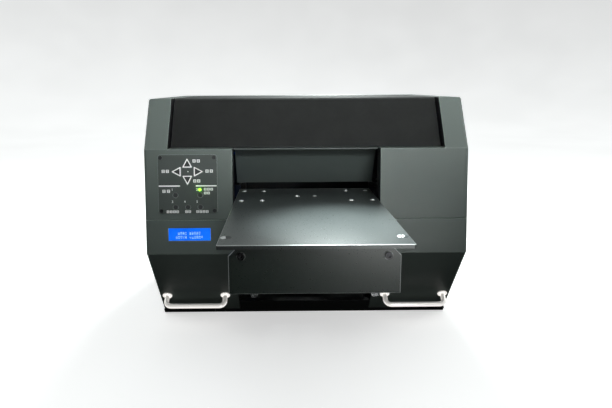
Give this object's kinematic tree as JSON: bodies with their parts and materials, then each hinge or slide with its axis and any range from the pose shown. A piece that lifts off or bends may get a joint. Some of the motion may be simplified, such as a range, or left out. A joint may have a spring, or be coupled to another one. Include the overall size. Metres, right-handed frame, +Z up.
{
  "type": "flatbed uv printer",
  "caption": "Desktop flatbed UV printer: dark grey casing with a lift-up top cover, key panel and blue display, and a black bed drawn out on rails over a lift frame.",
  "frame": {"origin": "on the surface the printer stands on, under the middle of its width and of its length with the bed drawn fully out", "axes": "+X to the right seen from the front, +Y towards the back, +Z up; the bed sticks out towards -Y"},
  "size_m": [0.499, 0.7, 0.38],
  "materials": {
    "casing_grey": "satin fine-textured powder coat",
    "cover_black": "matte",
    "tray_black": "satin",
    "foot_rubber": "matte",
    "panel_grey": "satin",
    "plate_black": "fine satin",
    "key_black": "satin",
    "led_green": "glossy, lit",
    "display_blue": "backlit",
    "handle_chrome": "polished",
    "screw_steel": "bright",
    "screw_black": "black oxide",
    "bed_black": "black anodised, satin",
    "plate_anodised": "dark anodised, semi-gloss",
    "bare_aluminium": "machined",
    "bright_steel": "ground",
    "frame_steel": "satin",
    "belt_rubber": "matte",
    "motor_black": "satin",
    "carriage_plastic": "satin",
    "head_metal": "satin",
    "bottle_plastic": "light-proof",
    "board_green": "solder mask",
    "psu_metal": "zinc-plated look",
    "socket_black": "moulded",
    "rocker_black": "moulded",
    "fan_black": "moulded"
  },
  "bodies": {
    "chassis": {"base_tray": "tray_black", "rubber_feet": "foot_rubber", "lower_casing_left": "casing_grey", "lower_casing_right": "casing_grey", "upper_casing_left": "casing_grey", "upper_casing_right": "casing_grey", "rear_top_casing": "casing_grey", "rear_panel": "tray_black", "mouth_panel": "panel_grey", "control_plate": "plate_black", "panel_screws": "screw_black", "status_led": "led_green", "display_module": "display_blue", "handle_left": "handle_chrome", "handle_right": "handle_chrome", "handle_washers": "handle_chrome", "gantry_frame": "frame_steel", "head_guide_rod": "bright_steel", "head_belt": "belt_rubber", "head_motor": "motor_black", "capping_station": "carriage_plastic", "ink_rack": "frame_steel", "ink_bottles": "bottle_plastic", "main_board": "board_green", "power_supply": "psu_metal", "inlet_module": "socket_black", "fan_frame": "fan_black", "cover_hinges": "bright_steel", "lift_posts": "bright_steel", "lift_motor": "motor_black"},
    "lift_frame": {"lift_frame": "frame_steel", "bearing_blocks": "bright_steel", "bed_belt": "belt_rubber", "bed_motor": "motor_black"},
    "bed": {"bed_plate": "bed_black", "bed_screws": "screw_steel", "bed_black_screws": "screw_black", "bed_side_bars": "bare_aluminium", "front_plate": "plate_anodised", "bed_rails": "bright_steel"},
    "lift_screw": {"lift_screw": "bright_steel"},
    "bed_drive_pulley": {"bed_drive_pulley": "bare_aluminium"},
    "bed_idler_pulley": {"bed_idler_pulley": "bare_aluminium"},
    "top_cover": {"top_cover": "cover_black"},
    "head_carriage": {"head_carriage": "carriage_plastic", "print_head": "head_metal", "uv_lamp": "bare_aluminium"},
    "head_drive_pulley": {"head_drive_pulley": "bare_aluminium"},
    "head_idler_pulley": {"head_idler_pulley": "bare_aluminium"},
    "power_rocker": {"power_rocker": "rocker_black"},
    "fan_rotor": {"fan_rotor": "fan_black"},
    "key_up": {"key_up": "key_black"},
    "key_left": {"key_left": "key_black"},
    "key_down": {"key_down": "key_black"},
    "key_right": {"key_right": "key_black"},
    "button_1": {"button_1": "key_black"},
    "button_2": {"button_2": "key_black"},
    "button_3": {"button_3": "key_black"},
    "button_4": {"button_4": "key_black"},
    "button_5": {"button_5": "key_black"}
  },
  "joints": [
    {"name": "lift_slide", "type": "slide", "parent": "chassis", "child": "lift_frame", "axis": [0, 0, 1], "range_m": [-0.06, 0]},
    {"name": "bed_slide", "type": "slide", "parent": "lift_frame", "child": "bed", "axis": [0, 1, 0], "range_m": [0, 0.3]},
    {"name": "lift_screw_turn", "type": "hinge", "parent": "chassis", "child": "lift_screw", "pos_m": [-0.035, 0.17, 0.08], "axis": [0, 0, 1], "range_deg": [-5, 2705]},
    {"name": "bed_drive_turn", "type": "hinge", "parent": "lift_frame", "child": "bed_drive_pulley", "pos_m": [0, 0.3, 0.146], "axis": [1, 0, 0], "range_deg": [-1910, 5]},
    {"name": "bed_idler_turn", "type": "hinge", "parent": "lift_frame", "child": "bed_idler_pulley", "pos_m": [0, -0.045, 0.146], "axis": [1, 0, 0], "range_deg": [-1910, 5]},
    {"name": "cover_hinge", "type": "hinge", "parent": "chassis", "child": "top_cover", "pos_m": [0, 0.181, 0.377], "axis": [-1, 0, 0], "range_deg": [0, 75]},
    {"name": "head_slide", "type": "slide", "parent": "chassis", "child": "head_carriage", "axis": [1, 0, 0], "range_m": [-0.285, 0]},
    {"name": "head_drive_turn", "type": "hinge", "parent": "chassis", "child": "head_drive_pulley", "pos_m": [-0.185, 0.095, 0.35], "axis": [0, 1, 0], "range_deg": [-5, 1815]},
    {"name": "head_idler_turn", "type": "hinge", "parent": "chassis", "child": "head_idler_pulley", "pos_m": [0.185, 0.095, 0.35], "axis": [0, 1, 0], "range_deg": [-5, 1815]},
    {"name": "rocker_tip", "type": "hinge", "parent": "chassis", "child": "power_rocker", "pos_m": [-0.167, 0.3405, 0.05], "axis": [1, 0, 0], "range_deg": [-18, 0]},
    {"name": "fan_spin", "type": "hinge", "parent": "chassis", "child": "fan_rotor", "pos_m": [0.165, 0.3339, 0.118], "axis": [0, 1, 0], "continuous": true},
    {"name": "key_up_press", "type": "slide", "parent": "chassis", "child": "key_up", "axis": [0, 0.995, -0.1001], "range_m": [0, 0.001], "stiffness_N_per_m": 250},
    {"name": "key_left_press", "type": "slide", "parent": "chassis", "child": "key_left", "axis": [0, 0.995, -0.1001], "range_m": [0, 0.001], "stiffness_N_per_m": 250},
    {"name": "key_down_press", "type": "slide", "parent": "chassis", "child": "key_down", "axis": [0, 0.995, -0.1001], "range_m": [0, 0.001], "stiffness_N_per_m": 250},
    {"name": "key_right_press", "type": "slide", "parent": "chassis", "child": "key_right", "axis": [0, 0.995, -0.1001], "range_m": [0, 0.001], "stiffness_N_per_m": 250},
    {"name": "button_1_press", "type": "slide", "parent": "chassis", "child": "button_1", "axis": [0, 0.995, -0.1001], "range_m": [0, 0.001], "stiffness_N_per_m": 250},
    {"name": "button_2_press", "type": "slide", "parent": "chassis", "child": "button_2", "axis": [0, 0.995, -0.1001], "range_m": [0, 0.001], "stiffness_N_per_m": 250},
    {"name": "button_3_press", "type": "slide", "parent": "chassis", "child": "button_3", "axis": [0, 0.995, -0.1001], "range_m": [0, 0.001], "stiffness_N_per_m": 250},
    {"name": "button_4_press", "type": "slide", "parent": "chassis", "child": "button_4", "axis": [0, 0.995, -0.1001], "range_m": [0, 0.001], "stiffness_N_per_m": 250},
    {"name": "button_5_press", "type": "slide", "parent": "chassis", "child": "button_5", "axis": [0, 0.995, -0.1001], "range_m": [0, 0.001], "stiffness_N_per_m": 250}
  ],
  "couplings": [
    {"joint": "lift_screw_turn", "follows": "lift_slide", "rad_per_m": -785.4},
    {"joint": "bed_drive_turn", "follows": "bed_slide", "rad_per_m": -110.5},
    {"joint": "bed_idler_turn", "follows": "bed_slide", "rad_per_m": -110.5},
    {"joint": "head_drive_turn", "follows": "head_slide", "rad_per_m": -110.5},
    {"joint": "head_idler_turn", "follows": "head_slide", "rad_per_m": -110.5}
  ]
}
